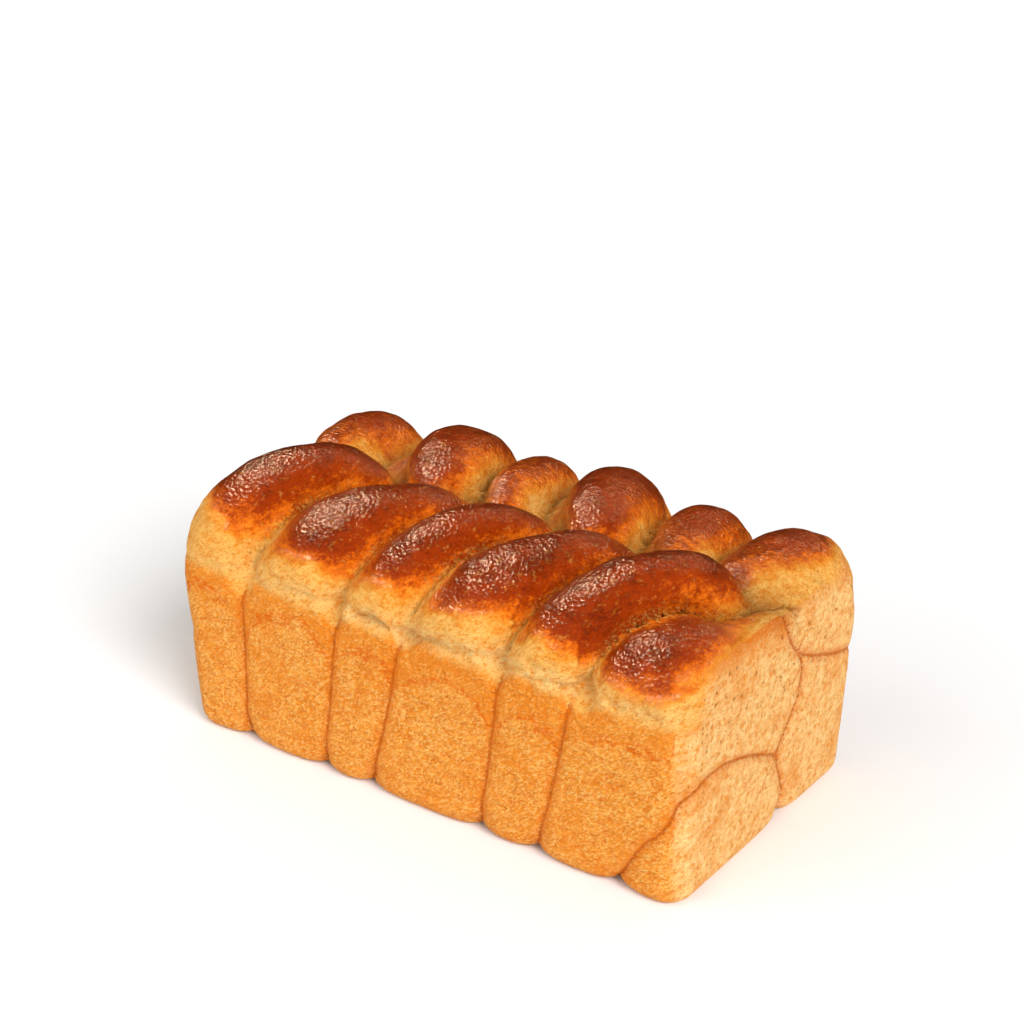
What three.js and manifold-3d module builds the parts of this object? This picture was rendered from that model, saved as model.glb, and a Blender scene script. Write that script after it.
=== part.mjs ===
// A plaited brioche baked in a loaf tin: one baked piece.
// Millimetres. +X runs along the loaf, -Y is its front, +Z is up; the origin is the middle of the underside.
// Below the rim line the dough has taken the tin's flat sides, with a pressed seam where two turns of the
// plait meet. Above it the turns rise free, as two rows of domed lobes that lean along the loaf.
import * as THREE from "three";
import Module from "manifold-3d";
import { mergeVertices } from "three/addons/utils/BufferGeometryUtils.js";

// Driving dimensions
const length = 190;
const width = 104;
const height = 94; // to the top of the highest lobe
const rimHeight = 60; // where the lobes come free of the tin's long sides
const wallLean = 1.8; // how far each side leans out from base to rim
const cornerRadius = 11; // upright corners
const edgeRadius = 5; // edge round the underside
const shoulderRadius = 12; // edge round the top of the body, behind the lobes
const shoulderDrop = 1; // top of the body below the rim, so that the lobes close over it
const seamDepth = 1.7; // pressed seams in the flat sides
const notchDepth = 3.4; // the same seams where they open at the bottom edge
const undersideReach = 20; // how far a seam runs in under the loaf
const valleyDrop = 13; // valley between the two rows, below the height
const heartDrop = 9; // top of the dough under the valley, below the valley's floor
const pressure = 2.5; // how far a lobe would bulge past the tin's long side if the tin let it
const endPressure = 2; // the same for the first and last lobes at the tin's ends
const lobeThickness = 19; // half of a lobe's depth, at right angles to its skin
const lobeOverlap = 1.07; // width of a lobe at the rim against its share, so that neighbours run together
const topSquareness = 2.2; // the squareness of a lobe's section over its top
const arch = 0.7; // how far a lobe's curve rises past its middle point
const lobeStart = 34; // height at which a lobe leaves the body
const tailHeight = 80; // top of the plait's end, folded up across the far end
const tailHalf = 15; // half of its thickness
const tailReach = 31; // how far it reaches either side of the middle
const tuckTop = 36; // top of the turn tucked under the bottom front corner, on an end
const tuckReach = 22; // how far along the front the same turn reaches, at the base
const forkHeight = 54; // where the seam between the two rows forks, on an end
const forkOffset = 6; // how far it stands from the middle there

// The turns of the plait, from the far end to the near end. rim is the share of the length that a turn
// takes at the rim. baseLean is how far the seam after it has drifted towards the far end by the base, and
// tipLean how far the turn leans towards the near end by its tip. drop is how far its top is below the
// height, and ridge how far out the top stands, as a share of the wall's distance. round is the half width
// of its tip against the half width at its rim, and square the squareness of its section at the rim: 2 is an
// ellipse, more is nearer a rectangle.
const frontTurns = [
  { rim: 31, baseLean: 4, tipLean: 27, drop: 0, ridge: 0.62, round: 0.85, square: 2.4 },
  { rim: 37, baseLean: 10, tipLean: 27, drop: 4, ridge: 0.66, round: 0.75, square: 4 },
  { rim: 24, baseLean: 16, tipLean: 25, drop: 3, ridge: 0.66, round: 1.0, square: 4 },
  { rim: 35, baseLean: 10, tipLean: 25, drop: 4, ridge: 0.66, round: 0.75, square: 4 },
  { rim: 24, baseLean: 14, tipLean: 29, drop: 1, ridge: 0.66, round: 1.05, square: 4 },
  { rim: 39, baseLean: 0, tipLean: 14, drop: 15.5, ridge: 0.66, round: 0.72, square: 3 },
];
const backTurns = [
  { rim: 32, baseLean: 6, tipLean: 1, drop: 7.5, ridge: 0.45, round: 0.8, square: 2.4 },
  { rim: 36, baseLean: 9, tipLean: 14, drop: 2.5, ridge: 0.64, round: 0.88, square: 3 },
  { rim: 23, baseLean: 5, tipLean: 7, drop: 7.5, ridge: 0.55, round: 1.0, square: 3 },
  { rim: 35, baseLean: 12, tipLean: 13, drop: 3.2, ridge: 0.64, round: 0.85, square: 3 },
  { rim: 30, baseLean: 7, tipLean: 6, drop: 10.5, ridge: 0.5, round: 0.9, square: 3 },
  { rim: 34, baseLean: 0, tipLean: -4, drop: 9.5, ridge: 0.46, round: 0.85, square: 2.4 },
];

// Mesh fineness
const roundSteps = 20; // round a lobe
const alongSteps = 12; // along a lobe
const capSteps = 5; // over the end of a lobe
const seamSides = 6; // round a seam's cutter
const seamStep = 9; // along it, in millimetres
const cornerSteps = 5; // in each quarter of an upright corner
const edgeSteps = 4; // in each rounded edge

const halfLength = length / 2;
const halfWidth = width / 2;
const wasm = await Module();
wasm.setup();

function solidOf(geometry) {
  const bare = new THREE.BufferGeometry().setAttribute("position", geometry.getAttribute("position"));
  if (geometry.index) bare.setIndex(geometry.index);
  const merged = mergeVertices(bare, 1e-4);
  return new wasm.Manifold(
    new wasm.Mesh({
      numProp: 3,
      vertProperties: merged.attributes.position.array,
      triVerts: new Uint32Array(merged.index.array),
    }),
  );
}

function join(solids) {
  return solids.reduce((whole, next) => whole.add(next));
}

// How far a side stands in from its place at the rim, at height z.
function leanAt(z) {
  return wallLean * Math.max(0, 1 - z / rimHeight);
}

function roundedRectangle(halfX, halfY, radius) {
  const shape = new THREE.Shape();
  shape.absarc(halfX - radius, halfY - radius, radius, 0, Math.PI / 2);
  shape.absarc(radius - halfX, halfY - radius, radius, Math.PI / 2, Math.PI);
  shape.absarc(radius - halfX, radius - halfY, radius, Math.PI, 1.5 * Math.PI);
  shape.absarc(halfX - radius, radius - halfY, radius, 1.5 * Math.PI, 2 * Math.PI);
  return shape;
}

// A block with leaning sides and rounded edges. The half sizes are those at the rim.
function roundedBlock(halfX, halfY, bottom, top, radius) {
  const plan = roundedRectangle(halfX - radius, halfY - radius, Math.max(1, cornerRadius - radius));
  const geometry = new THREE.ExtrudeGeometry(plan, {
    depth: top - bottom - 2 * radius,
    steps: 2,
    curveSegments: cornerSteps,
    bevelSize: radius,
    bevelThickness: radius,
    bevelSegments: edgeSteps,
  });
  const at = geometry.getAttribute("position");
  const middle = (top - bottom) / 2 - radius;
  for (let i = 0; i < at.count; i++) {
    const isMiddle = Math.abs(at.getZ(i) - middle) < 0.01;
    const z = isMiddle ? Math.min(rimHeight, top - 1.2 * radius) : at.getZ(i) + bottom + radius;
    const lean = leanAt(z);
    at.setXYZ(i, at.getX(i) - Math.sign(at.getX(i)) * lean, at.getY(i) - Math.sign(at.getY(i)) * lean, z);
  }
  return solidOf(geometry);
}

// A coordinate of the unit circle, pushed out towards the square's. Rounding noise at zero stays zero.
function fuller(value, power) {
  return Math.abs(value) < 1e-6 ? 0 : Math.sign(value) * Math.abs(value) ** power;
}

// A capsule laid along a curve. across(t) and deep(t) are its half sizes at right angles to the curve,
// deep being measured along the outward direction. squareness 2 gives an ellipse, more gives fuller sides.
function bentCapsule(curve, outward, across, deep, squareness, sides, steps, caps) {
  const geometry = new THREE.CapsuleGeometry(1, 2, caps, sides, steps);
  const at = geometry.getAttribute("position");
  const side = new THREE.Vector3();
  const out = new THREE.Vector3();
  for (let i = 0; i < at.count; i++) {
    const along = THREE.MathUtils.clamp((at.getY(i) + 1) / 2, 0, 1);
    const past = at.getY(i) - THREE.MathUtils.clamp(at.getY(i), -1, 1);
    const tangent = curve.getTangentAt(along);
    side.crossVectors(tangent, outward(along)).normalize();
    out.crossVectors(side, tangent).normalize();
    const ring = Math.hypot(at.getX(i), at.getZ(i)) || 1;
    const power = 2 / squareness(along);
    const u = fuller(at.getX(i) / ring, power) * ring;
    const n = fuller(at.getZ(i) / ring, power) * ring;
    const point = curve
      .getPointAt(along)
      .addScaledVector(side, u * across(along))
      .addScaledVector(out, n * deep(along))
      .addScaledVector(tangent, past * Math.min(across(along), deep(along)));
    at.setXYZ(i, point.x, point.y, point.z);
  }
  const solid = solidOf(geometry);
  return solid.volume() < 0 ? solidOf(turnedRound(geometry)) : solid;
}

function turnedRound(geometry) {
  const index = geometry.index;
  for (let i = 0; i < index.count; i += 3) {
    const second = index.getX(i + 1);
    index.setX(i + 1, index.getX(i + 2));
    index.setX(i + 2, second);
  }
  return geometry;
}

// Where a row's seams are along the loaf at the rim, from the shares of its turns.
function seamPlaces(turns) {
  const whole = turns.reduce((sum, turn) => sum + turn.rim, 0);
  const reach = length + 2 * endPressure;
  const places = [-reach / 2];
  for (const turn of turns) places.push(places.at(-1) + (turn.rim / whole) * reach);
  return places;
}

// One free-standing turn: up inside the wall, over the shoulder, and down into the valley.
function lobe(turn, rimFrom, rimTo, sideOfLoaf) {
  const rimHalf = (rimTo - rimFrom) / 2;
  const tipHalf = rimHalf * turn.round;
  const rimMiddle = (rimFrom + rimTo) / 2;
  const depth = Math.min(lobeThickness, 2 + 1.25 * rimHalf);
  const wall = halfWidth + pressure - depth;
  const crest = height - turn.drop - arch - depth;
  const tip = Math.min(height - valleyDrop - depth + 2, crest - 1);
  const shoulder = THREE.MathUtils.lerp(rimHeight, crest, 0.45) + 2;
  const place = (share, y, z) =>
    new THREE.Vector3(rimMiddle + turn.tipLean * share, sideOfLoaf * y, z);
  const curve = new THREE.CatmullRomCurve3([
    place(-0.1, wall - 0.5, lobeStart),
    place(0, wall, rimHeight - 5),
    place(0.2, wall - 3, shoulder),
    place(0.5, turn.ridge * wall, crest + 0.5),
    place(0.78, 0.58 * turn.ridge * wall, crest - 0.5),
    place(1, 0.16 * wall, tip),
  ]);
  const hinge = new THREE.Vector3(0, 0, 0.55 * rimHeight);
  const outward = (t) => curve.getPointAt(t).sub(hinge).setX(0).normalize();
  const across = (t) =>
    THREE.MathUtils.lerp(rimHalf * lobeOverlap, tipHalf, THREE.MathUtils.smoothstep(t, 0.2, 0.9));
  const squareness = (t) =>
    THREE.MathUtils.lerp(turn.square, topSquareness, THREE.MathUtils.smoothstep(t, 0.15, 0.45));
  return bentCapsule(curve, outward, across, () => depth, squareness, roundSteps, alongSteps, capSteps);
}

function row(turns, sideOfLoaf) {
  const rims = seamPlaces(turns);
  return turns.map((turn, k) => lobe(turn, rims[k], rims[k + 1], sideOfLoaf));
}

// The end of the plait, folded up across the far end between the first two turns.
function tail() {
  const end = tailHalf - halfLength - endPressure;
  const curve = new THREE.CatmullRomCurve3([
    new THREE.Vector3(end, -tailReach, rimHeight - tailHalf),
    new THREE.Vector3(end, -0.4 * tailReach, tailHeight - tailHalf),
    new THREE.Vector3(end, 0.4 * tailReach, tailHeight - tailHalf),
    new THREE.Vector3(end, tailReach, rimHeight - tailHalf),
  ]);
  const up = new THREE.Vector3(-0.3, 0, 1).normalize();
  const half = () => tailHalf;
  return bentCapsule(curve, () => up, half, half, () => topSquareness, roundSteps, alongSteps, capSteps);
}

// The dough below the rim, before the tin presses it flat.
function body() {
  const top = rimHeight - shoulderDrop;
  return roundedBlock(halfLength + pressure, halfWidth + pressure, -shoulderRadius, top, shoulderRadius);
}

// The dough under the valley, which the lobes close over. It reaches both ends of the tin.
function heart() {
  const top = height - valleyDrop - heartDrop;
  const halfX = halfLength + endPressure;
  return roundedBlock(halfX, halfWidth - lobeThickness, -shoulderRadius, top, shoulderRadius);
}

// A cutter for a pressed seam along points on a side, opening into a notch at its first point where asked.
function seamCutter(points, outward, notched = true) {
  const curve = new THREE.CatmullRomCurve3(points);
  const span = curve.getLength();
  const notch = notched ? notchDepth - seamDepth : 0;
  const radius = (t) => seamDepth + notch * Math.exp(-(((t * span) / (1.2 * edgeRadius)) ** 2));
  const steps = Math.max(4, Math.round(span / seamStep));
  return bentCapsule(curve, () => outward, radius, radius, () => 2, seamSides, steps, 2);
}

// The seams down one long side, each carried round the bottom edge and in under the loaf.
function longSideSeams(turns, sideOfLoaf) {
  const rims = seamPlaces(turns);
  const outward = new THREE.Vector3(0, sideOfLoaf, 0);
  const down = new THREE.Vector3(0, 0, -1);
  return turns.slice(0, -1).flatMap((turn, k) => {
    const onWall = (z) => {
      const drift = turn.baseLean * (1 - z / rimHeight);
      return new THREE.Vector3(rims[k + 1] - drift, sideOfLoaf * (halfWidth - leanAt(z)), z);
    };
    const under = (inward) =>
      new THREE.Vector3(onWall(0).x - 0.1 * inward, sideOfLoaf * (halfWidth - inward), 0);
    const heights = [edgeRadius * 0.3, rimHeight * 0.35, rimHeight * 0.7, rimHeight];
    return [
      seamCutter(heights.map(onWall), outward),
      seamCutter([under(edgeRadius * 0.6), under(edgeRadius + undersideReach)], down),
    ];
  });
}

// The seams on an end: endSide +1 is the near end, -1 the far end. The turn at the bottom front corner is
// tucked under, at the near end right round the corner, and the two turns behind it meet in a fork.
function endSeams(endSide) {
  const forkAcross = endSide * forkOffset;
  const onEnd = (y, z) => new THREE.Vector3(endSide * (halfLength - leanAt(z)), y, z);
  const onFront = (inFromEnd, z) =>
    new THREE.Vector3(endSide * (halfLength - inFromEnd), leanAt(z) - halfWidth, z);
  const cornerIn = cornerRadius * (1 - Math.SQRT1_2) + leanAt(tuckTop);
  const corner = onFront(cornerIn, tuckTop - 4);
  corner.y = cornerIn - halfWidth;
  const alongFront = [onFront(tuckReach, edgeRadius * 0.3), onFront(tuckReach * 0.62, tuckTop * 0.55)];
  const tuck = [
    ...(endSide > 0 ? alongFront : []),
    corner,
    onEnd(-halfWidth * 0.65, tuckTop + 1.5),
    onEnd(-halfWidth * 0.3, tuckTop - 2),
    onEnd(forkAcross - 9, tuckTop - 8),
  ];
  const fork = [
    onEnd(forkAcross + 2, edgeRadius * 0.3),
    onEnd(forkAcross - 5, tuckTop * 0.7),
    onEnd(forkAcross + 4, tuckTop + 4),
    onEnd(forkAcross + 3, forkHeight + 1),
    onEnd(forkAcross - 4, forkHeight + 9),
    onEnd(forkAcross - 6, height - valleyDrop - 4),
  ];
  const shelf = [
    onEnd(forkAcross + 3, forkHeight),
    onEnd(halfWidth * 0.5, forkHeight - 5),
    onEnd(halfWidth - cornerRadius, forkHeight - 9),
    onEnd(halfWidth, forkHeight - 10),
  ];
  const outward = new THREE.Vector3(endSide, 0, 0);
  const diagonal = new THREE.Vector3(endSide, -1, 0).normalize();
  return [
    seamCutter(tuck, diagonal, endSide > 0),
    seamCutter(fork, outward),
    seamCutter(shelf, outward, false),
  ];
}

const risen = join([body(), heart(), tail(), ...row(frontTurns, -1), ...row(backTurns, 1)]);
const tin = roundedBlock(halfLength, halfWidth, 0, height + shoulderRadius, edgeRadius);
const seams = join([
  ...longSideSeams(frontTurns, -1),
  ...longSideSeams(backTurns, 1),
  ...endSeams(1),
  ...endSeams(-1),
]);
const baked = risen.intersect(tin).subtract(seams).getMesh();

const geometry = new THREE.BufferGeometry();
geometry.setAttribute("position", new THREE.BufferAttribute(new Float32Array(baked.vertProperties), 3));
geometry.setIndex(new THREE.BufferAttribute(new Uint32Array(baked.triVerts), 1));
geometry.computeVertexNormals();

const crust = new THREE.MeshStandardMaterial({ color: 0xd88438, roughness: 0.55, metalness: 0 });
const loaf = new THREE.Mesh(geometry, crust);
loaf.name = "brioche_loaf";

const brioche = new THREE.Group();
brioche.name = "brioche";
brioche.add(loaf);

export default brioche;
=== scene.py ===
import math

import bmesh
import bpy
import numpy as np
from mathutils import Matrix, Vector
from mathutils.kdtree import KDTree


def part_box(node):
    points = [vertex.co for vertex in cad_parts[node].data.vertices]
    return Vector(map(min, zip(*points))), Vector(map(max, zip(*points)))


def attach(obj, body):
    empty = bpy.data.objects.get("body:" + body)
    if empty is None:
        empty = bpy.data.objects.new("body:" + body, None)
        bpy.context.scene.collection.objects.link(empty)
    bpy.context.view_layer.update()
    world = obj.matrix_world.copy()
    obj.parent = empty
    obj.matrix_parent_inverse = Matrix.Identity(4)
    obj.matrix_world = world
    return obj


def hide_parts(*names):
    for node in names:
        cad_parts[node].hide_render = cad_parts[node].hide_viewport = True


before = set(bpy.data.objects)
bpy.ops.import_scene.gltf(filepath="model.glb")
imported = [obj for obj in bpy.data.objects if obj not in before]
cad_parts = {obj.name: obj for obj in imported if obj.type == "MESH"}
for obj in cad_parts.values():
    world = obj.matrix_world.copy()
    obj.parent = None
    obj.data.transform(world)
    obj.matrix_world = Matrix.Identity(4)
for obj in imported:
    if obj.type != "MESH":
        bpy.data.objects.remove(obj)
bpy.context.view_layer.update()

low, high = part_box("brioche_loaf")
length, width, height = 1000 * (high - low)  # shaped in millimetres, turned to metres at the end
halfLength, halfWidth = length / 2, width / 2
metre = 0.001


view = {
    "azimuth": 35.9,  # degrees round from the front towards the near end
    "elevation": 27.3,
    "distance": 3.26,  # in loaf lengths
    "aim": 0.455,  # height looked at, as a share of the loaf's
    "lens": 69.8,
    "shift": 0.110,
}


def makeCamera():
    azimuth = math.radians(view["azimuth"])
    elevation = math.radians(view["elevation"])
    back = Vector((
        math.sin(azimuth) * math.cos(elevation),
        -math.cos(azimuth) * math.cos(elevation),
        math.sin(elevation),
    ))
    data = bpy.data.cameras.new("camera")
    data.lens = view["lens"]
    data.sensor_width = 36
    data.shift_y = view["shift"]
    data.clip_start = 0.01
    camera = bpy.data.objects.new("camera", data)
    bpy.context.scene.collection.objects.link(camera)
    aim = Vector((0, 0, view["aim"] * height * metre))
    camera.location = aim + back * view["distance"] * length * metre
    camera.rotation_euler = back.to_track_quat("Z", "Y").to_euler()
    bpy.context.scene.camera = camera


makeCamera()
print("camera made")


def smooth(start, end, value):
    share = np.clip((value - start) / (end - start), 0, 1)
    return share * share * (3 - 2 * share)


def blend(a, b, share):
    return a + (b - a) * share


def unit(vectors):
    return vectors / np.maximum(np.linalg.norm(vectors, axis=-1, keepdims=True), 1e-9)


def softNoise(points, size, seed):  # smooth noise between -1 and 1, with lumps of about that size
    table = np.random.default_rng(seed).uniform(-1, 1, (32, 32, 32))
    place = points / size + 100.0
    cell = np.floor(place).astype(int)
    part = place - cell
    part = part * part * (3 - 2 * part)
    total = np.zeros(len(points))
    for corner in np.ndindex(2, 2, 2):
        offset = np.array(corner)
        weight = np.prod(np.where(offset == 1, part, 1 - part), axis=1)
        x, y, z = ((cell + offset) % 32).T
        total += weight * table[x, y, z]
    return total


def evenSpline(points, count):  # a smooth line through the points, cut into even steps
    points = np.array(points, float)
    ends = np.vstack([2 * points[0] - points[1], points, 2 * points[-1] - points[-2]])
    share = np.linspace(0, 1, 24, endpoint=False)[:, None]
    fine = []
    for a, b, c, d in zip(ends[:-3], ends[1:-2], ends[2:-1], ends[3:]):
        fine.append(0.5 * (2 * b + (c - a) * share + (2 * a - 5 * b + 4 * c - d) * share ** 2
                           + (3 * b - a - 3 * c + d) * share ** 3))
    fine = np.vstack(fine + [points[-1:]])
    walked = np.concatenate([[0], np.cumsum(np.linalg.norm(np.diff(fine, axis=0), axis=1))])
    steps = np.linspace(0, walked[-1], count)
    return np.stack([np.interp(steps, walked, fine[:, axis]) for axis in range(3)], axis=1)


loaf = {
    "rim": 60,  # height where the lobes come free of the tin
    "lean": 1.8,  # how far each side leans out from base to rim
    "corner": 9,  # upright corners at the base
    "softCorner": 26,  # how much rounder they are above the rim
    "edge": 5,  # edge round the underside
    "shoulder": 14,  # edge round the top of the body, behind the lobes
    "pressure": 2.5,  # how far the dough would bulge past the long sides
    "endPressure": 2,
    "thickness": 19,  # half of a lobe's depth
    "overlap": 1.07,  # width of a lobe at the rim against its share
    "valley": 13,  # valley between the rows, below the height
    "heart": 4,  # top of the dough under the valley, below its floor
    "lobeStart": 34,
    "tailTop": 80,  # the plait's end, folded up across the far end
    "tailHalf": 15,
    "tailReach": 31,
    "voxel": 1.2,
}

# rim: share of the length that a turn takes at the rim
# seam: how far the seam after it drifts back by the base
# reach: how far it leans along the loaf by its tip
# drop: its top below the height
# round: its width at the tip against the rim's
# ridge: how far out its top stands, as a share
# square: how flat it is where it meets the tin
frontTurns = [
    {"rim": 31, "seam": 4, "reach": 27, "drop": 0, "round": 0.85, "ridge": 0.62, "square": 2.4},
    {"rim": 37, "seam": 10, "reach": 27, "drop": 4, "round": 0.75, "ridge": 0.66, "square": 4},
    {"rim": 24, "seam": 16, "reach": 25, "drop": 3, "round": 1.0, "ridge": 0.66, "square": 4},
    {"rim": 35, "seam": 10, "reach": 25, "drop": 4, "round": 0.75, "ridge": 0.66, "square": 4},
    {"rim": 24, "seam": 14, "reach": 29, "drop": 1, "round": 1.05, "ridge": 0.66, "square": 4},
    {"rim": 39, "seam": 0, "reach": 14, "drop": 15.5, "round": 0.72, "ridge": 0.66, "square": 3},
]
backTurns = [
    {"rim": 32, "seam": 6, "reach": 1, "drop": 7.5, "round": 0.8, "ridge": 0.45, "square": 2.4},
    {"rim": 36, "seam": 9, "reach": 14, "drop": 2.5, "round": 0.88, "ridge": 0.64, "square": 3},
    {"rim": 23, "seam": 5, "reach": 7, "drop": 7.5, "round": 1.0, "ridge": 0.55, "square": 3},
    {"rim": 35, "seam": 12, "reach": 13, "drop": 3.2, "round": 0.85, "ridge": 0.64, "square": 3},
    {"rim": 30, "seam": 7, "reach": 6, "drop": 10.5, "round": 0.9, "ridge": 0.5, "square": 3},
    {"rim": 34, "seam": 0, "reach": -4, "drop": 9.5, "round": 0.85, "ridge": 0.46, "square": 2.4},
]


def seamPlaces(turns):
    reach = length + 2 * loaf["endPressure"]
    shares = np.array([turn["rim"] for turn in turns], float)
    return np.concatenate([[0], np.cumsum(shares)]) / shares.sum() * reach - reach / 2


def rope(points, outward, across, deep, power):  # a stretch of dough along a line, with its own axes
    line = evenSpline(points, 44)
    share = np.linspace(0, 1, len(line))
    along = unit(np.gradient(line, axis=0))
    side = unit(np.cross(along, outward(line)))
    out = unit(np.cross(side, along))
    return {
        "line": line, "along": along, "side": side, "out": out,
        "across": across(share), "deep": deep + 0 * share, "power": power(share),
    }


def lobe(turn, start, end, side):
    rimHalf = (end - start) / 2
    tipHalf = rimHalf * turn["round"]
    rimMiddle = (start + end) / 2
    tipMiddle = rimMiddle + turn["reach"]
    depth = min(loaf["thickness"], 2 + 1.25 * rimHalf)
    wall = halfWidth + loaf["pressure"] - depth
    crest = height - turn["drop"] - depth - 0.7
    shoulder = blend(loaf["rim"], crest, 0.45) + 2
    tip = min(height - loaf["valley"] - depth + 2, crest - 1)
    points = [
        (blend(rimMiddle, tipMiddle, share), side * y, z)
        for share, y, z in (
            (-0.1, wall - 0.5, loaf["lobeStart"]),
            (0, wall, loaf["rim"] - 5),
            (0.2, wall - 3, shoulder),
            (0.5, turn["ridge"] * wall, crest + 0.5),
            (0.78, 0.58 * turn["ridge"] * wall, crest - 0.5),
            (1, 0.16 * wall, tip),
        )
    ]
    hinge = np.array([0, 0, 0.55 * loaf["rim"]])
    return rope(
        points,
        lambda line: unit((line - hinge) * (0, 1, 1)),
        lambda t: blend(rimHalf * loaf["overlap"], tipHalf, smooth(0.2, 0.9, t)),
        depth,
        lambda t: blend(turn["square"], 2.2, smooth(0.15, 0.45, t)),
    )


def rowOfLobes(turns, side):
    seams = seamPlaces(turns)
    return [lobe(turn, *ends, side) for turn, ends in zip(turns, zip(seams, seams[1:]))]


def tailLobe():
    half, reach = loaf["tailHalf"], loaf["tailReach"]
    end = half - halfLength - loaf["endPressure"]
    points = [
        (end, -reach, loaf["rim"] - half),
        (end, -0.4 * reach, loaf["tailTop"] - half),
        (end, 0.4 * reach, loaf["tailTop"] - half),
        (end, reach, loaf["rim"] - half),
    ]
    up = unit(np.array([-0.3, 0, 1.0]))
    return rope(
        points,
        lambda line: np.tile(up, (len(line), 1)),
        lambda t: half + 0 * t,
        half,
        lambda t: 2.2 + 0 * t,
    )


def ropeMesh(turn, around=48, caps=6):  # rings along the rope, with a rounded cap at each end
    angle = np.linspace(0, 2 * math.pi, around, endpoint=False)
    rings = []
    last = len(turn["line"]) - 1
    steps = [(0, -math.sin(a)) for a in np.linspace(math.pi / 2, 0, caps, endpoint=False)[1:]]
    steps += [(i, 0) for i in range(last + 1)]
    steps += [(last, math.sin(a)) for a in np.linspace(0, math.pi / 2, caps, endpoint=False)[1:]]
    for i, past in steps:
        shrink = math.sqrt(1 - past * past)
        power = 2 / turn["power"][i]
        u = np.sign(np.cos(angle)) * np.abs(np.cos(angle)) ** power * shrink * turn["across"][i]
        n = np.sign(np.sin(angle)) * np.abs(np.sin(angle)) ** power * shrink * turn["deep"][i]
        reach = past * min(turn["across"][i], turn["deep"][i])
        middle = turn["line"][i] + turn["along"][i] * reach
        rings.append(middle + u[:, None] * turn["side"][i] + n[:, None] * turn["out"][i])
    poles = [
        turn["line"][0] - turn["along"][0] * min(turn["across"][0], turn["deep"][0]),
        turn["line"][last] + turn["along"][last] * min(turn["across"][last], turn["deep"][last]),
    ]
    points = np.vstack(rings + poles)
    count = len(rings)
    faces = []
    for k in range(around):
        nextK = (k + 1) % around
        for r in range(count - 1):
            ring, nextRing = r * around, (r + 1) * around
            faces.append((ring + k, ring + nextK, nextRing + nextK, nextRing + k))
        faces.append((count * around, nextK, k))
        faces.append((count * around + 1, (count - 1) * around + k, (count - 1) * around + nextK))
    return points, faces


def blockMesh(halfX, halfY, bottom, top, radius):
    block = bmesh.new()
    bmesh.ops.create_cube(block, size=2)
    for vertex in block.verts:
        z = top if vertex.co.z > 0 else bottom
        vertex.co = (vertex.co.x * halfX, vertex.co.y * halfY, z)
    bmesh.ops.bevel(block, geom=block.edges[:], offset=radius, segments=6, profile=0.5, affect="EDGES")
    block.verts.index_update()
    points = np.array([vertex.co[:] for vertex in block.verts])
    faces = [tuple(vertex.index for vertex in face.verts) for face in block.faces]
    block.free()
    return points, faces


def meshFrom(name, points, faces):
    mesh = bpy.data.meshes.new(name)
    mesh.from_pydata(points.tolist(), [], faces)
    return mesh


def joinedDough(turns):
    bodyTop = loaf["rim"] - 1
    heartTop = height - loaf["valley"] - loaf["heart"]
    below = -loaf["shoulder"]
    parts = [ropeMesh(turn) for turn in turns]
    bodyHalf = halfWidth + loaf["pressure"]
    parts.append(blockMesh(halfLength + 2.5, bodyHalf, below, bodyTop, loaf["shoulder"]))
    parts.append(blockMesh(halfLength + 2, halfWidth - loaf["thickness"], below, heartTop, 10))
    points, faces = [], []
    for partPoints, partFaces in parts:
        start = sum(len(p) for p in points)
        points.append(partPoints)
        faces += [tuple(start + i for i in face) for face in partFaces]
    mesh = meshFrom("dough", np.vstack(points), faces)
    bm = bmesh.new()
    bm.from_mesh(mesh)
    bmesh.ops.recalc_face_normals(bm, faces=bm.faces)
    bm.to_mesh(mesh)
    bm.free()
    dough = bpy.data.objects.new("dough", mesh)
    bpy.context.scene.collection.objects.link(dough)
    remesh = dough.modifiers.new("oneSkin", "REMESH")
    remesh.mode = "VOXEL"
    remesh.voxel_size = loaf["voxel"]
    skin = evaluatedMesh(dough)
    bpy.data.objects.remove(dough)
    return skin


def evaluatedMesh(thing):
    bpy.context.view_layer.update()
    seen = thing.evaluated_get(bpy.context.evaluated_depsgraph_get())
    return bpy.data.meshes.new_from_object(seen)


def pointsOf(mesh):
    flat = np.zeros(len(mesh.vertices) * 3)
    mesh.vertices.foreach_get("co", flat)
    return flat.reshape(-1, 3)


def normalsOf(mesh):
    flat = np.zeros(len(mesh.vertices) * 3)
    mesh.vertex_normals.foreach_get("vector", flat)
    return flat.reshape(-1, 3)


def movePoints(mesh, points):
    mesh.vertices.foreach_set("co", points.ravel())
    mesh.update()


def edgesOf(mesh):
    flat = np.zeros(len(mesh.edges) * 2, int)
    mesh.edges.foreach_get("vertices", flat)
    return flat.reshape(-1, 2)


def relax(points, edges, rounds, strength=0.5):
    count = np.bincount(edges.ravel(), minlength=len(points))[:, None]
    for _ in range(rounds):
        total = np.zeros_like(points)
        for axis in range(3):
            total[:, axis] = np.bincount(edges[:, 0], points[edges[:, 1], axis], len(points))
            total[:, axis] += np.bincount(edges[:, 1], points[edges[:, 0], axis], len(points))
        points = points + strength * (total / count - points)
    return points


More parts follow.
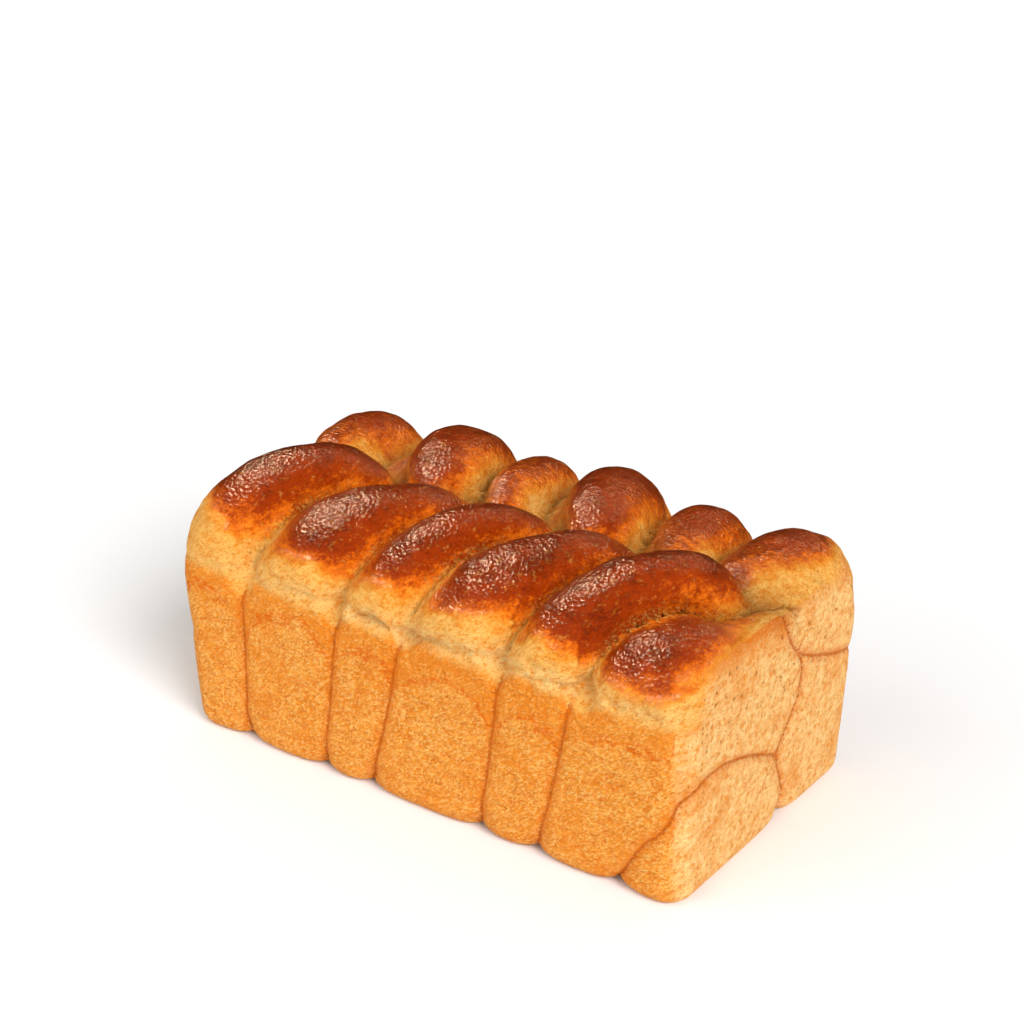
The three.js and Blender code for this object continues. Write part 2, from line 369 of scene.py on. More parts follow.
def ropeDistance(points, turn):  # 1 on the rope's skin; also the share along it and the place across it
    line, along = turn["line"], turn["along"]
    square = (points ** 2).sum(1)[:, None] - 2 * points @ line.T + (line ** 2).sum(1)
    near = square.argmin(1)
    offset = points - line[near]
    past = (offset * along[near]).sum(1)
    inner = (near > 0) & (near < len(line) - 1)
    past = np.where(inner, 0, np.where(near == 0, np.minimum(past, 0), np.maximum(past, 0)))
    u = (offset * turn["side"][near]).sum(1) / turn["across"][near]
    n = (offset * turn["out"][near]).sum(1) / turn["deep"][near]
    power = turn["power"][near]
    ring = (np.abs(u) ** power + np.abs(n) ** power) ** (1 / power)
    beyond = past / np.minimum(turn["across"], turn["deep"])[near]
    return np.hypot(ring, beyond), near / (len(line) - 1), u


def tinDistance(points):  # distance outside the tin, and the way out of it
    x, y, z = points.T
    lean = loaf["lean"] * np.clip(1 - z / loaf["rim"], 0, 1)
    filled = smooth(0, 60, x) * smooth(0, 30, -y)  # only the near front corner is filled
    corner = loaf["corner"] + loaf["softCorner"] * (1 - filled) * smooth(52, 94, z)
    edge = loaf["edge"]
    qx = np.abs(x) - (halfLength - lean - corner)
    qy = np.abs(y) - (halfWidth - lean - corner)
    outX, outY = np.maximum(qx, 0), np.maximum(qy, 0)
    inner = np.minimum(np.maximum(qx, qy), 0)
    side = np.hypot(outX, outY) + inner - corner
    flatX = np.where(qx > qy, 1.0, 0) * (inner < 0) + outX
    flatY = np.where(qx > qy, 0, 1.0) * (inner < 0) + outY
    flat = unit(np.stack([flatX, flatY], 1)) * np.sign(points[:, :2])
    a, b = side + edge, edge - z
    outA, outB = np.maximum(a, 0), np.maximum(b, 0)
    within = np.minimum(np.maximum(a, b), 0)
    distance = np.hypot(outA, outB) + within - edge
    wayA = outA + (within < 0) * (a > b)
    wayB = outB + (within < 0) * (a <= b)
    way = unit(np.stack([flat[:, 0] * wayA, flat[:, 1] * wayA, -wayB], 1))
    return distance, way


def pressIntoTin(points, softness=0.45):
    distance, way = tinDistance(points)
    kept = -softness * np.logaddexp(0, -distance / softness)
    return points + way * (kept - distance)[:, None], distance


pressed = {  # the seams between turns, where the tin pressed them flat
    "depth": 0.75,
    "width": 0.7,
    "dip": 0.3,  # a softer hollow on both sides of a seam
    "dipWidth": 4,
    "notch": 2.7,  # how far the bottom edge draws in at a seam
    "notchWidth": 5,
    "inFromEnd": [(21, 7), (14, 19), (7, 26), (2, 33)],  # the tucked turn's edge on the front, from the end
    "tuck": [(-52, 35), (-48, 36.5), (-40, 39), (-32, 39.5), (-24, 38), (-12, 34), (3, 27)],
    "fork": [
        (10, -1), (9, 8), (8, 14), (3, 27), (8, 35), (13, 42),
        (14, 48), (13, 54), (9, 59), (4, 65), (0, 73), (-1, 80),
    ],
    "shelf": [(10, 58), (15, 55), (24, 51), (38, 46), (52, 43)],
    "backFromEnd": [(7, 41), (14, 38), (22, 33), (32, 25)],  # the same at the back
    "farShift": -12,  # the far end's fork stands on the other side of the middle
}


def seamLines():
    lines = []
    feet = []
    for turns, side in ((frontTurns, -1), (backTurns, 1)):
        places = seamPlaces(turns)[1:-1]
        for turn, top in zip(turns, places):
            foot = top - turn["seam"]
            wall = [
                (blend(foot, top, share ** 0.85), side * halfWidth, loaf["rim"] * share)
                for share in (1.04, 0.7, 0.35, 0)
            ]
            under = [(foot + 2, side * (halfWidth - 16), 0), (foot + 6, side * 12, 0)]
            lines.append(wall + under)
            feet.append((foot + 7, side * 5, 0))
    lines.append(sorted(feet))
    for end, shift in ((1, 0), (-1, pressed["farShift"])):
        tuck = [  # shifted where it meets the fork
            (end * halfLength, y + shift * np.clip((y + 40) / 43, 0, 1), z)
            for y, z in pressed["tuck"]
        ]
        if end > 0:  # only the near end's turn is tucked right round the corner
            front = [(halfLength - back, -halfWidth, z) for back, z in pressed["inFromEnd"]]
            tuck = [(halfLength - 26, 14 - halfWidth, 0)] + front + tuck
        lines.append(tuck)
        fork = [(end * halfLength, y + shift, z) for y, z in pressed["fork"]]
        lines.append([(end * (halfLength - 18), 12 + shift, 0)] + fork)
        shelf = [(end * halfLength, y + shift * (y < 40), z) for y, z in pressed["shelf"]]
        behind = [(end * (halfLength - back), halfWidth, z) for back, z in pressed["backFromEnd"]]
        lines.append(shelf + behind)
    return lines


def seamField(points, lines):  # distance across the nearest seam, and whether it is beside that seam
    spots, across = [], []
    for line in lines:
        fine = evenSpline(line, 2 * int(sum(math.dist(a, b) for a, b in zip(line, line[1:]))))
        ways = tinDistance(fine)[1]
        fine = fine - ways * tinDistance(fine)[0][:, None]
        spots.append(fine)
        across.append(unit(np.cross(np.gradient(fine, axis=0), ways)))
    spots, across = np.vstack(spots), np.vstack(across)
    tree = KDTree(len(spots))
    for i, spot in enumerate(spots):
        tree.insert(spot, i)
    tree.balance()
    near = np.array([tree.find(point)[1] for point in points])
    offset = points - spots[near]
    signed = (offset * across[near]).sum(1)
    rest = np.sqrt(np.maximum((offset ** 2).sum(1) - signed ** 2, 0))
    return signed, smooth(3.5, 1.2, rest)


def rowField(points, turns, values):  # a value for each turn of a row, carried down its leaning panel
    places = seamPlaces(turns)
    drift = np.array([0] + [turn["seam"] for turn in turns[:-1]] + [0], float)
    down = np.clip(1 - points[:, 2] / loaf["rim"], 0, 1)
    bounds = places[None, :] - drift[None, :] * down[:, None] ** 1.1
    which = np.clip((points[:, :1] > bounds).sum(1) - 1, 0, len(turns) - 1)
    row = np.arange(len(points))
    start, end = bounds[row, which], bounds[row, which + 1]
    return np.array(values)[which], 2 * (points[:, 0] - start) / (end - start) - 1


baked = {
    "archTop": [54, 53, 50, 49, 47, 50],  # how high each panel was pressed flat
    "archDrop": [17, 15, 8, 10, 8, 6],  # how much lower it was beside the seams
    "tear": [0.3, 0.55, 1.0, 1.0, 0.95, 0.6],  # how open each turn's tear is, above its panel
    "paleTo": [63, 61, 60, 60, 55, 50],  # how high each front turn stays pale
    "backPaleTo": 60,
    "darkOver": 28,  # from pale to dark, in height
    "nose": 0.9,  # how far a lobe hangs over its tear
    "tearHeight": 61.5,
    "tearDepth": 3.0,
    "lump": 0.7,
    "fold": 1.0,  # how strongly the folds between lobes are cut
    "pit": 4.5,  # depth of the pits where three lobes meet
}


def fieldsOf(points, normals, turns, contact):
    x, y, z = points.T
    rings, shares, sides = [], [], []
    for turn in turns:
        ring, share, u = ropeDistance(points, turn)
        rings.append(ring)
        shares.append(share)
        sides.append(u * np.sign(turn["side"][:, 0].mean()))
    rings = np.array(rings)
    order = np.argsort(rings, axis=0)
    row = np.arange(len(points))
    own = order[0]
    gap = 12 * (rings[order[1], row] - rings[own, row])
    pit = np.exp(-12 * (rings[order[2], row] - rings[own, row]) / 3.2)
    share, u = np.array(shares)[own, row], np.array(sides)[own, row]
    free = smooth(loaf["rim"] - 2, loaf["rim"] + 6, z)
    fold = np.exp(-np.clip(gap, 0, 99) / 2.4) * free
    sameRow = order[0] // len(frontTurns) == order[1] // len(frontTurns)
    under = smooth(-0.1, 0.3, u) * sameRow  # each turn lies over the one before it
    dip = under * 2.0 * np.exp(-gap / 2.6) + (1 - under) * 0.5 * np.exp(-gap / 1.0)
    dip = np.where(sameRow, dip, 1.5 * np.exp(-gap / 1.8)) * free
    crease = np.exp(-gap / 1.4) * np.where(sameRow, smooth(0.55, 0.85, share), 1)
    # the pits and creases where lobes meet: pressed in below, and also darkened in the crust colour as
    # painted shade
    pit = np.maximum(pit, 0.75 * crease) * smooth(loaf["rim"] + 6, loaf["rim"] + 12, z)

    front = y < 0
    archTop, across = rowField(points, frontTurns, baked["archTop"])
    archDrop = rowField(points, frontTurns, baked["archDrop"])[0]
    tear = rowField(points, frontTurns, baked["tear"])[0]
    backTop, backAcross = rowField(points, backTurns, baked["archTop"])
    archTop = np.where(front, archTop, backTop)
    across = np.where(front, across, backAcross)
    tear = np.where(front, tear, 0.7)
    onSide = smooth(halfWidth - 14, halfWidth - 7, np.abs(y))
    onSide = onSide * smooth(halfLength + 2, halfLength - 4, np.abs(x))
    wobble = softNoise(points, 7, 5) + 0.5 * softNoise(points, 3, 6)
    arch = archTop - archDrop * np.abs(across) ** 2.2 - z + 0.9 * wobble
    onEnd = smooth(halfLength - 6, halfLength - 3, np.abs(x))
    arch = blend(arch, 20, np.maximum(onEnd, 1 - smooth(halfWidth - 12, halfWidth - 6, np.abs(y))))

    alongOnly = points * (1, 0, 0)
    tearLine = baked["tearHeight"] + 1.3 * softNoise(alongOnly, 8, 7) + 0.6 * softNoise(alongOnly, 2.5, 8)
    tearLine = tearLine - 2.5 * across ** 2 * (tear > 0.8)
    opened = np.clip(0.55 + 0.9 * softNoise(points * (1, 0, 0.3), 6, 9), 0, 1)
    tearing = tear * onSide * opened * np.exp(-((z - tearLine) / 1.5) ** 2)
    crumbs = tear * onSide * np.exp(-((z - tearLine - 0.5) / 4.2) ** 2)

    lumps = softNoise(points, 22, 11)
    rise = z + 4.5 * lumps + 2.0 * softNoise(points, 8, 12) + 4 * (normals[:, 2] - 0.5)
    frontPaleTo = rowField(points, frontTurns, baked["paleTo"])[0]
    paleTo = blend(frontPaleTo, baked["backPaleTo"], smooth(-20, 10, y))
    bake = 0.85 * smooth(paleTo, paleTo + baked["darkOver"], rise)
    bake = bake + 0.15 * smooth(-0.2, 0.9, softNoise(points, 11, 13))
    wide = np.exp(-np.clip(gap, 0, 99) / 5) * free
    pale = wide * np.where(u < 0.1, 0.5, 0.2)
    pale += 0.45 * smooth(0.55, 0.95, share) * smooth(-0.3, 0.8, u) * free
    pale += 0.2 * smooth(-4, 0, contact) * smooth(60, 66, z)
    pale += 0.25 * smooth(0.3, 0.8, softNoise(points, 9, 15)) * smooth(84, 70, z)
    pale += 0.5 * smooth(halfLength - 13, halfLength - 1, np.abs(x) + 2 * lumps) * smooth(86, 74, z)
    bake = bake * (1 - 0.2 * smooth(0, 15, y))  # the back row is a little paler
    bake = np.clip(bake - pale - 0.35 * crumbs, 0, 1) * free
    facing = np.maximum(np.abs(normals[:, 0]), np.abs(normals[:, 1]))
    pressedFlat = smooth(-2.2, 0.0, contact) * smooth(0.25, 0.7, facing)
    pressedFlat = np.where(z < 20, smooth(-2.5, -0.5, contact), pressedFlat)
    pressedFlat = np.maximum(pressedFlat, smooth(57, 50, z))
    pressedFlat *= 1 - onSide * smooth(55.5, 62, z + 1.2 * wobble + 2.2 * softNoise(points, 13, 14))
    skirt = onEnd * smooth(58, 80, z - smooth(-4, 8, y) * 6 + 2 * wobble)  # a flat end browns upwards
    return {
        "bake": bake,
        "tin": pressedFlat,
        "arch": np.clip(arch, -20, 20),
        "tear": np.clip(crumbs, 0, 1),
        "tearing": tearing,
        "dip": dip,
        "pit": pit,
        "crumbs": tear * onSide,
        "fold": fold,
        "end": onEnd * pressedFlat,
        "free": free,
        "skirt": skirt,
    }


def reliefOf(points, fields, seam, beside):
    z = points[:, 2]
    groove = pressed["depth"] * np.exp(-(seam / pressed["width"]) ** 2)
    groove += pressed["dip"] * np.exp(-(seam / pressed["dipWidth"]) ** 2)
    inset = np.minimum(halfLength - np.abs(points[:, 0]), halfWidth - np.abs(points[:, 1]))
    bottom = smooth(13, 2, z) * smooth(20, 10, inset)
    notch = pressed["notch"] * np.exp(-np.abs(seam) / pressed["notchWidth"] * 1.4) * bottom
    inward = (groove + notch) * beside
    inward += baked["tearDepth"] * fields["tearing"]
    inward += baked["fold"] * fields["dip"] + baked["pit"] * fields["pit"]
    inward += fields["tear"] * (0.9 * softNoise(points, 2.6, 21) + 0.7 * softNoise(points, 6, 25))
    outward = baked["lump"] * softNoise(points, 15, 22) * fields["free"]
    outward += baked["nose"] * fields["crumbs"] * np.exp(-((z - 68) / 3.5) ** 2)
    outward += 0.42 * softNoise(points, 6.5, 23) * fields["free"]
    outward += 0.16 * softNoise(points, 3, 26) * fields["free"]
    outward += 0.25 * (softNoise(points, 18, 24) - 1) * (1 - fields["free"]) * smooth(0, 3, z)
    return outward - inward


def setField(mesh, name, values):
    field = mesh.attributes.new(name, "FLOAT", "POINT")
    field.data.foreach_set("value", np.asarray(values, np.float32))


def makeLoafMesh():
    turns = rowOfLobes(frontTurns, -1) + rowOfLobes(backTurns, 1) + [tailLobe()]
    mesh = joinedDough(turns)
    edges = edgesOf(mesh)
    points = relax(pointsOf(mesh), edges, 5)
    points, contact = pressIntoTin(points)
    movePoints(mesh, points)
    print("loaf skin:", len(mesh.vertices), "points")
    normals = normalsOf(mesh)
    fields = fieldsOf(points, normals, turns, contact)
    seam, beside = seamField(points, seamLines())
    points = points + normals * reliefOf(points, fields, seam, beside)[:, None]
    points[:, 2] = np.maximum(points[:, 2], 0)
    movePoints(mesh, points * metre)
    setField(mesh, "seam", seam)
    setField(mesh, "beside", beside)
    for name in ("bake", "tin", "arch", "tear", "fold", "pit", "end", "skirt"):
        setField(mesh, name, fields[name])
    print("seams, folds and tears pressed in")
    return mesh


mesh = makeLoafMesh()
loafPiece = bpy.data.objects.new("brioche", mesh)
bpy.context.scene.collection.objects.link(loafPiece)


crustColours = {  # colours as red, green, blue from 0 to 255
    "tear": (242, 202, 132),
    "cream": (244, 186, 94),
    "gold": (232, 142, 38),
    "amber": (212, 98, 8),
    "brown": (146, 46, 0),
    "dark": (98, 25, 0),
    "wall": (240, 156, 54),
    "wallDeep": (220, 122, 24),
    "wallPale": (250, 196, 110),
    "endDeep": (240, 162, 76),
    "endPale": (255, 216, 148),
    "outline": (224, 104, 4),
    "rimBand": (230, 126, 16),
    "seam": (206, 92, 8),
    "pore": (200, 112, 40),
}


def linearPart(value):
    share = value / 255
    return share / 12.92 if share <= 0.04045 else ((share + 0.055) / 1.055) ** 2.4


def linear(name):
    return tuple(linearPart(value) for value in crustColours[name]) + (1,)


def makeCrust():
    material = bpy.data.materials.new("crust")
    material.use_nodes = True
    tree = material.node_tree
    shader = tree.nodes["Principled BSDF"]

    def feed(socket, value):
        if isinstance(value, bpy.types.NodeSocket):
            tree.links.new(value, socket)
        else:
            socket.default_value = value

    def put(kind, inputs, **settings):
        node = tree.nodes.new("ShaderNode" + kind)
        for name, value in settings.items():
            setattr(node, name, value)
        for name, value in inputs.items():
            feed(node.inputs[name], value)
        return node

    def calc(operation, *values):
        return put("Math", dict(enumerate(values)), operation=operation).outputs[0]

    def ramp(value, start, end, low=0.0, high=1.0, kind="SMOOTHSTEP"):
        inputs = {"Value": value, "From Min": start, "From Max": end, "To Min": low, "To Max": high}
        return put("MapRange", inputs, interpolation_type=kind).outputs["Result"]

    def mix(factor, a, b, kind="MIX"):
        a = linear(a) if isinstance(a, str) else a
        b = linear(b) if isinstance(b, str) else b
        return put("Mix", {0: factor, 6: a, 7: b}, data_type="RGBA", blend_type=kind).outputs[2]

    def field(name):
        return put("Attribute", {}, attribute_name=name).outputs["Fac"]

    def noise(place, scale, detail=3.0, rough=0.5):
        inputs = {"Vector": place, "Scale": scale, "Detail": detail, "Roughness": rough}
        return put("TexNoise", inputs).outputs["Fac"]

    def cells(place, scale):
        return put("TexVoronoi", {"Vector": place, "Scale": scale}).outputs["Distance"]

    def stretched(place, x, y, z):
        return put("VectorMath", {0: place, 1: (x, y, z)}, operation="MULTIPLY").outputs[0]

    place = put("TexCoord", {}).outputs["Object"]
    mm = put("VectorMath", {0: place, "Scale": 1000.0}, operation="SCALE").outputs[0]
    bake, tin, arch, tear = field("bake"), field("tin"), field("arch"), field("tear")
    seam, beside, fold, end = field("seam"), field("beside"), field("fold"), field("end")
    pit, skirt = field("pit"), field("skirt")

    turned = put("VectorRotate", {"Vector": mm, "Angle": 0.7}, rotation_type="Y_AXIS").outputs[0]
    streaky = stretched(turned, 0.6, 1.0, 1.25)
    grain = noise(streaky, 0.46, 4.0, 0.72)
    speckle = noise(streaky, 1.15, 3.0, 0.65)
    dust = noise(mm, 1.8, 2.0, 0.6)
    patches = noise(mm, 0.08, 3.0, 0.55)
    drifts = noise(stretched(mm, 0.7, 1.0, 1.6), 0.28, 3.0, 0.6)
    fibres = noise(stretched(mm, 0.3, 1.5, 1.5), 0.8, 3.0, 0.6)
    pebbles = cells(mm, 0.85)

    # the free crust, from cream at the tear to dark brown on top
    bakeHere = calc("ADD", bake, ramp(grain, 0.3, 0.7, -0.09, 0.09, "LINEAR"))
    bakeHere = calc("ADD", bakeHere, ramp(speckle, 0.3, 0.7, -0.10, 0.10, "LINEAR"))
    bakeHere = calc("ADD", bakeHere, ramp(drifts, 0.3, 0.7, -0.12, 0.12, "LINEAR"))
    crumbly = mix(ramp(grain, 0.38, 0.56, kind="LINEAR"), "gold", "cream")
    crumbly = mix(ramp(speckle, 0.5, 0.66, 0.0, 0.8, "LINEAR"), crumbly, "wallPale")
    crumbly = mix(ramp(dust, 0.45, 0.32, 0.0, 0.6, "LINEAR"), crumbly, "amber")
    free = mix(ramp(bakeHere, 0.02, 0.22), crumbly, "gold")
    free = mix(ramp(bakeHere, 0.14, 0.40), free, "amber")
    free = mix(ramp(bakeHere, 0.34, 0.62), free, "brown")
    free = mix(ramp(bakeHere, 0.62, 1.0), free, "dark")
    strands = calc("MULTIPLY", ramp(fold, 0.25, 0.9), ramp(fibres, 0.46, 0.64))
    free = mix(calc("MULTIPLY", strands, 0.55), free, "cream")

    # the flat sides
    wall = mix(ramp(grain, 0.34, 0.6, kind="LINEAR"), "wallDeep", "wall")
    wall = mix(ramp(drifts, 0.38, 0.55, 0.45, 0.0, "LINEAR"), wall, "wallDeep")
    wall = mix(ramp(speckle, 0.42, 0.7, 0.0, 0.9, "LINEAR"), wall, "wallPale")
    wall = mix(ramp(dust, 0.46, 0.3, 0.0, 0.75, "LINEAR"), wall, "outline")
    pale = mix(ramp(grain, 0.36, 0.56, kind="LINEAR"), "endDeep", "endPale")
    pale = mix(ramp(speckle, 0.5, 0.3, 0.0, 0.8, "LINEAR"), pale, "endDeep")
    pale = mix(ramp(drifts, 0.5, 0.66, 0.0, 0.6, "LINEAR"), pale, "endDeep")
    wall = mix(calc("MULTIPLY", end, 0.85), wall, pale)
    wall = mix(ramp(patches, 0.47, 0.66, 0.0, 0.45), wall, "rimBand")
    bandHere = calc("ADD", arch, ramp(drifts, 0.3, 0.7, -3.0, 3.0, "LINEAR"))
    band = calc("MULTIPLY", ramp(bandHere, 1.5, -4.0), ramp(grain, 0.3, 0.7, 0.75, 0.3, "LINEAR"))
    wall = mix(band, wall, "rimBand")
    archLine = ramp(calc("ABSOLUTE", bandHere), 1.9, 0.1)
    archLine = calc("MULTIPLY", archLine, ramp(patches, 0.35, 0.55, 0.4, 0.9))
    wall = mix(calc("MULTIPLY", skirt, ramp(grain, 0.3, 0.7, 1.0, 0.6, "LINEAR")), wall, "rimBand")
    wall = mix(calc("MULTIPLY", ramp(skirt, 0.55, 1.0), 0.7), wall, "amber")
    wall = mix(archLine, wall, "outline")
    wall = mix(ramp(speckle, 0.54, 0.72, 0.0, 0.5, "LINEAR"), wall, "wallPale")
    wall = mix(ramp(grain, 0.44, 0.3, 0.0, 0.45, "LINEAR"), wall, "outline")
    wander = calc("MULTIPLY", calc("SUBTRACT", speckle, 0.5), 1.8)
    seamHere = calc("ABSOLUTE", calc("ADD", seam, wander))
    seamLine = calc("MULTIPLY", ramp(seamHere, 0.7, 0.1), beside)
    # painted shade along the wall seams: within a few millimetres of each seam the wall turns deeper
    # orange, partly the crust's own tint and partly painted shade in the groove
    seamTintAndShade = calc("MULTIPLY", ramp(seamHere, 3.5, 0.5, 0.0, 0.35), beside)
    wall = mix(seamTintAndShade, wall, "outline")

    free = mix(calc("MULTIPLY", tear, ramp(grain, 0.4, 0.6, 0.2, 0.9)), free, "tear")
    tinHere = ramp(calc("ADD", tin, ramp(grain, 0.3, 0.7, -0.45, 0.45, "LINEAR")), 0.1, 0.9)
    colour = mix(tinHere, free, wall)
    colour = mix(calc("MULTIPLY", seamLine, ramp(bake, 0.0, 0.4, 0.7, 0.0)), colour, "seam")

    # pores, which show on the ends, with painted shade darkening each one
    bend = put("TexNoise", {"Vector": mm, "Scale": 0.9}).outputs["Color"]
    bent = put("VectorMath", {0: mm, 1: bend}, operation="ADD").outputs[0]

    def poresOf(scale, least, most, edge):
        spots = put("TexVoronoi", {"Vector": bent, "Scale": scale})
        chance = put("SeparateColor", {"Color": spots.outputs["Color"]}).outputs[0]
        size = ramp(chance, least, 1.0, 0.0, most, "LINEAR")
        return ramp(calc("SUBTRACT", spots.outputs["Distance"], size), 0.0, -edge)

    smallPores = calc("MULTIPLY", poresOf(0.62, 0.4, 0.24, 0.1), 0.7)
    pore = calc("MAXIMUM", poresOf(0.24, 0.45, 0.22, 0.08), smallPores)
    pore = calc("MULTIPLY", pore, ramp(end, 0.3, 0.8))
    # painted shade: each pore is darkened towards the pore colour, as shade inside a small hole
    colour = mix(calc("MULTIPLY", pore, 0.8), colour, "pore")
    # painted shade: the pits where three lobes meet and the creases between lobes are darkened towards dark
    # brown
    colour = mix(calc("MULTIPLY", pit, 0.8), colour, "dark")
    feed(shader.inputs["Base Color"], colour)

    crown = calc("MULTIPLY", ramp(bake, 0.10, 0.45), ramp(tin, 0.7, 0.2))
    matte = ramp(grain, 0.3, 0.7, 0.60, 0.80, "LINEAR")
    glossy = ramp(speckle, 0.3, 0.7, 0.24, 0.40, "LINEAR")
    roughCrown = calc("MULTIPLY", glossy, crown)
    roughRest = calc("MULTIPLY", matte, calc("SUBTRACT", 1.0, crown))
    feed(shader.inputs["Roughness"], calc("ADD", roughCrown, roughRest))
    shader.inputs["Specular IOR Level"].default_value = 0.12
    feed(shader.inputs["Coat Weight"], crown)
    shader.inputs["Coat Roughness"].default_value = 0.1

    plain = calc("SUBTRACT", 1.0, calc("MULTIPLY", crown, 0.8))
    bumps = calc("MULTIPLY", pebbles, calc("MULTIPLY", crown, 0.55))
    bumps = calc("ADD", bumps, calc("MULTIPLY", speckle, calc("MULTIPLY", plain, 1.6)))
    bumps = calc("ADD", bumps, calc("MULTIPLY", grain, calc("MULTIPLY", plain, 2.8)))
    bumps = calc("ADD", bumps, calc("MULTIPLY", drifts, calc("MULTIPLY", plain, 2.2)))
    bumps = calc("ADD", bumps, calc("MULTIPLY", strands, 0.6))
    bumps = calc("SUBTRACT", bumps, calc("MULTIPLY", pore, 1.2))
    bumps = calc("SUBTRACT", bumps, calc("MULTIPLY", seamLine, 0.6))
    bump = put("Bump", {"Height": bumps, "Distance": 0.0006, "Strength": 1.0})
    feed(shader.inputs["Normal"], bump.outputs["Normal"])
    feed(shader.inputs["Coat Normal"], bump.outputs["Normal"])
    return material


crust = makeCrust()


relief = {  # fine relief of the crust, in metres
    "Lump Size": 0.0034,
    "Lump Height": 0.00022,
    "Grain Size": 0.0017,
    "Grain Height": 0.00012,
    "Seed": 4,
}


def makeRelief():
    tree = bpy.data.node_groups.new("crustRelief", "GeometryNodeTree")
    face = tree.interface
    face.new_socket("Geometry", in_out="INPUT", socket_type="NodeSocketGeometry")
    for name, value in relief.items():
        kind = "NodeSocketInt" if name == "Seed" else "NodeSocketFloat"
        face.new_socket(name, in_out="INPUT", socket_type=kind).default_value = value
    face.new_socket("Crust", in_out="INPUT", socket_type="NodeSocketMaterial")
    face.new_socket("Geometry", in_out="OUTPUT", socket_type="NodeSocketGeometry")
    start = tree.nodes.new("NodeGroupInput")
    end = tree.nodes.new("NodeGroupOutput")
    link = tree.links.new

    def wave(size, height):
        noise = tree.nodes.new("ShaderNodeTexNoise")
        noise.noise_dimensions = "4D"
        noise.inputs["Detail"].default_value = 1.0
        scale = tree.nodes.new("ShaderNodeMath")
        scale.operation = "DIVIDE"
        scale.inputs[0].default_value = 1.0
        link(start.outputs[size], scale.inputs[1])
        link(scale.outputs[0], noise.inputs["Scale"])
        link(start.outputs["Seed"], noise.inputs["W"])
        middle = tree.nodes.new("ShaderNodeMath")
        middle.operation = "SUBTRACT"
        link(noise.outputs["Fac"], middle.inputs[0])
        middle.inputs[1].default_value = 0.5
        tall = tree.nodes.new("ShaderNodeMath")
        tall.operation = "MULTIPLY"
        link(middle.outputs[0], tall.inputs[0])
        link(start.outputs[height], tall.inputs[1])
        return tall.outputs[0]

    total = tree.nodes.new("ShaderNodeMath")
    total.operation = "ADD"
    link(wave("Lump Size", "Lump Height"), total.inputs[0])
    link(wave("Grain Size", "Grain Height"), total.inputs[1])
    up = tree.nodes.new("GeometryNodeInputNormal")
    push = tree.nodes.new("ShaderNodeVectorMath")
    push.operation = "SCALE"
    link(up.outputs["Normal"], push.inputs[0])
    link(total.outputs[0], push.inputs["Scale"])
    move = tree.nodes.new("GeometryNodeSetPosition")
    real = tree.nodes.new("GeometryNodeRealizeInstances")
    paint = tree.nodes.new("GeometryNodeSetMaterial")
    link(start.outputs["Geometry"], move.inputs["Geometry"])
    link(push.outputs[0], move.inputs["Offset"])
    link(move.outputs["Geometry"], real.inputs["Geometry"])
    link(real.outputs["Geometry"], paint.inputs["Geometry"])
    link(start.outputs["Crust"], paint.inputs["Material"])
    link(paint.outputs["Geometry"], end.inputs["Geometry"])
    return tree


def applyRelief(thing):
    modifier = thing.modifiers.new("crustRelief", "NODES")
    modifier.node_group = makeRelief()
    items = modifier.node_group.interface.items_tree
    sockets = {item.name: item.identifier for item in items if item.in_out == "INPUT"}
    for name, value in relief.items():
        modifier[sockets[name]] = value
    modifier[sockets["Crust"]] = crust
    made = evaluatedMesh(thing)
    thing.modifiers.remove(modifier)
    thing.data = made
    made.name = "brioche"
    made.polygons.foreach_set("use_smooth", [True] * len(made.polygons))


applyRelief(loafPiece)
print("crust relief made")


studio = {
    "floor": (0.94, 0.94, 0.94),
    "sky": 0.42,
    "skyGloss": 0.02,  # what the crust mirrors of it
    "gloss": (1.0, 0.62, 0.32),  # and its colour
    "boxColour": (1.0, 0.72, 0.46),
    "keySun": (0.78, -0.38, 0.6, 3.05, 30),  # direction, strength, softness in degrees
    "fillSun": (-0.4, -0.8, 0.45, 1.25, 60),
    "boxes": [  # direction, distance, size, brightness
        ("glintLeft", (-0.62, 0.0, 0.78), 0.9, (0.17, 0.11), 150),
        ("glintTop", (0.08, 0.72, 0.66), 0.9, (0.17, 0.07), 38),
    ],
}


def makeSun(name, x, y, z, strength, softness):
    data = bpy.data.lights.new(name, "SUN")
    data.energy = strength
    data.angle = math.radians(softness)
    sun = bpy.data.objects.new(name, data)
    sun.rotation_euler = Vector((x, y, z)).to_track_quat("Z", "Y").to_euler()
    sun.visible_glossy = False  # the glints come from the softboxes alone
    bpy.context.scene.collection.objects.link(sun)


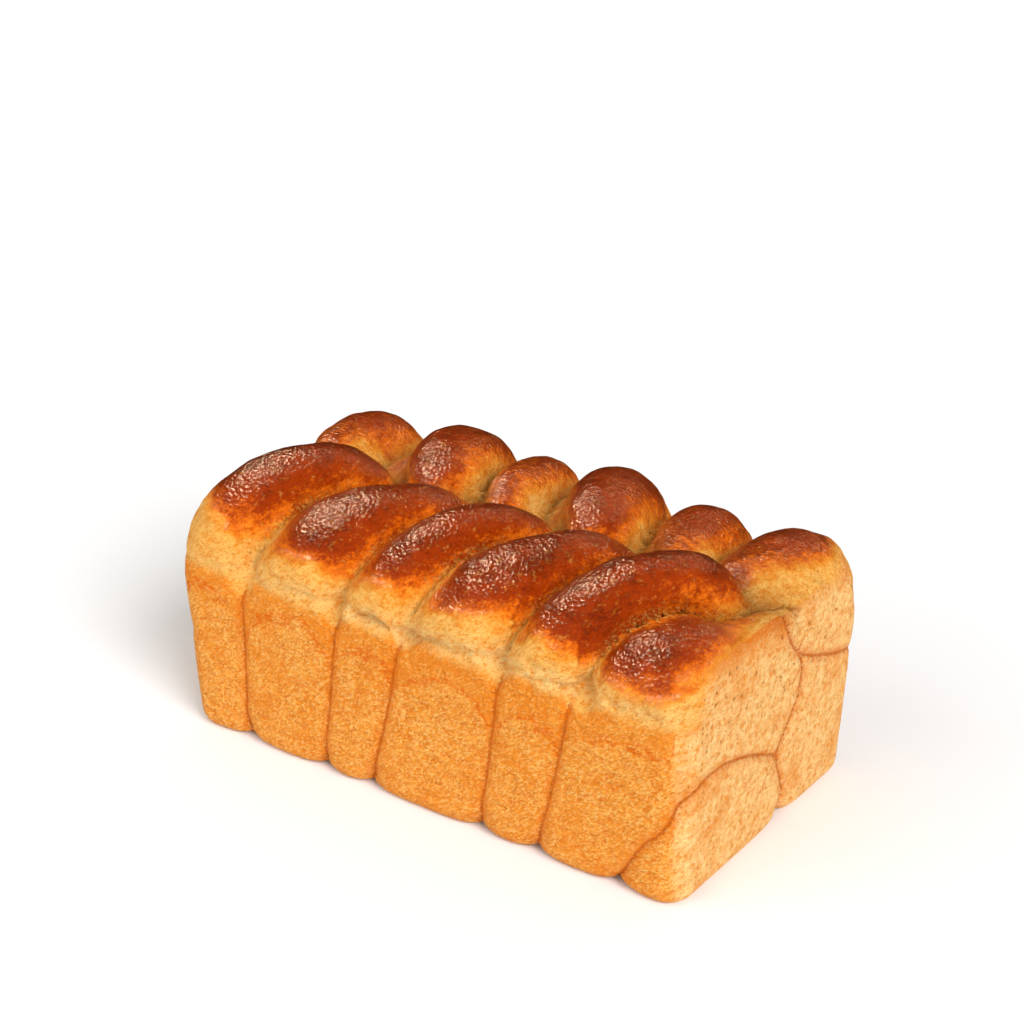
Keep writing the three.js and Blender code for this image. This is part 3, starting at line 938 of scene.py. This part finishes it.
def makeSoftbox(name, way, distance, size, brightness):
    data = bpy.data.lights.new(name, "AREA")
    data.shape = "RECTANGLE"
    data.size, data.size_y = size
    data.energy = brightness * math.pi * size[0] * size[1]
    data.color = studio["boxColour"]
    box = bpy.data.objects.new(name, data)
    way = Vector(way).normalized()
    box.location = Vector((0, 0, 0.06)) + way * distance
    box.rotation_euler = way.to_track_quat("Z", "Y").to_euler()
    box.visible_diffuse = False  # a softbox only makes a glint
    bpy.context.scene.collection.objects.link(box)


def makeStudio():
    world = bpy.data.worlds.new("studio")
    bpy.context.scene.world = world
    world.use_nodes = True
    tree = world.node_tree
    background = tree.nodes["Background"]
    path = tree.nodes.new("ShaderNodeLightPath")
    dim = tree.nodes.new("ShaderNodeMix")
    dim.inputs["A"].default_value = studio["sky"]
    dim.inputs["B"].default_value = studio["skyGloss"]
    tree.links.new(path.outputs["Is Glossy Ray"], dim.inputs["Factor"])
    strength = tree.nodes.new("ShaderNodeMix")
    strength.inputs["B"].default_value = 1.0
    tree.links.new(dim.outputs["Result"], strength.inputs["A"])
    tree.links.new(path.outputs["Is Camera Ray"], strength.inputs["Factor"])
    tree.links.new(strength.outputs["Result"], background.inputs["Strength"])
    tint = tree.nodes.new("ShaderNodeMix")
    tint.data_type = "RGBA"
    tint.inputs[6].default_value = (1, 1, 1, 1)
    tint.inputs[7].default_value = (*studio["gloss"], 1)
    tree.links.new(path.outputs["Is Glossy Ray"], tint.inputs[0])
    tree.links.new(tint.outputs[2], background.inputs["Color"])
    makeSun("keySun", *studio["keySun"])
    makeSun("fillSun", *studio["fillSun"])
    for box in studio["boxes"]:
        makeSoftbox(*box)
    bpy.ops.mesh.primitive_plane_add(size=8)
    floor = bpy.context.object
    floor.name = "floor"
    floor.visible_glossy = False  # a white floor would grey the glossy crown
    paper = bpy.data.materials.new("floorPaper")
    paper.use_nodes = True
    shader = paper.node_tree.nodes["Principled BSDF"]
    shader.inputs["Base Color"].default_value = (*studio["floor"], 1)
    shader.inputs["Roughness"].default_value = 0.9
    floor.data.materials.append(paper)
    bpy.context.scene.view_settings.view_transform = "Standard"


makeStudio()
print("studio made")

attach(loafPiece, "root")
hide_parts("brioche_loaf")
